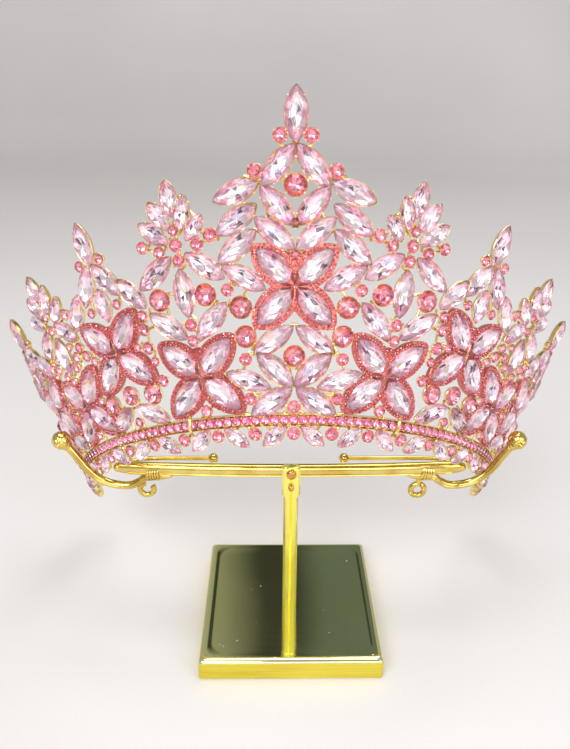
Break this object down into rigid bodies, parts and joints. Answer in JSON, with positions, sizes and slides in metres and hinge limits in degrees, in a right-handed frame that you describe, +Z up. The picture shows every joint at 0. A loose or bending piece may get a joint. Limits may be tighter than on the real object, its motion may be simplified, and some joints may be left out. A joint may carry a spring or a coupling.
{
  "type": "tiara on display stand",
  "caption": "Tall jewelled tiara with flower and spire motifs in marquise and round stones on a gold frame, resting on a small square-footed display stand with a hooked bar.",
  "frame": {"origin": "centre of the stand plate's underside", "axes": "-Y towards the front of the tiara, +Z up, X across its width"},
  "size_m": [0.2086, 0.0806, 0.1841],
  "materials": {
    "pale_stone": "polished facets",
    "gold_setting": "polished gold plating with pink and red stones",
    "gold_bar": "polished gold plating",
    "gold_plate": "brushed edge, mirror top"
  },
  "bodies": {
    "root": {"spire_tip": "pale_stone", "spire_cap_left": "pale_stone", "spire_cap_right": "pale_stone", "leaf_upper_left": "pale_stone", "leaf_upper_right": "pale_stone", "vee_upper_left": "pale_stone", "vee_upper_right": "pale_stone", "leaf_middle_left": "pale_stone", "leaf_middle_right": "pale_stone", "vee_lower_left": "pale_stone", "vee_lower_right": "pale_stone", "leaf_lower_left": "pale_stone", "leaf_lower_right": "pale_stone", "great_flower_outer_up": "pale_stone", "great_flower_outer_down": "pale_stone", "great_flower_inner_down": "pale_stone", "great_flower_inner_up": "pale_stone", "base_flower_outer_up": "pale_stone", "base_flower_outer_down": "pale_stone", "base_flower_inner_down": "pale_stone", "base_flower_inner_up": "pale_stone", "second_flower_outer_up_left": "pale_stone", "second_flower_outer_up_right": "pale_stone", "second_flower_outer_down_left": "pale_stone", "second_flower_outer_down_right": "pale_stone", "second_flower_inner_down_left": "pale_stone", "second_flower_inner_down_right": "pale_stone", "second_flower_inner_up_left": "pale_stone", "second_flower_inner_up_right": "pale_stone", "third_flower_outer_up_left": "pale_stone", "third_flower_outer_up_right": "pale_stone", "third_flower_outer_down_left": "pale_stone", "third_flower_outer_down_right": "pale_stone", "third_flower_inner_down_left": "pale_stone", "third_flower_inner_down_right": "pale_stone", "third_flower_inner_up_left": "pale_stone", "third_flower_inner_up_right": "pale_stone", "tiara_frame": "gold_setting", "hooked_bar": "gold_bar", "stand_post": "gold_bar", "screw_upper": "gold_bar", "screw_lower": "gold_bar", "stand_plate": "gold_plate"}
  },
  "joints": []
}
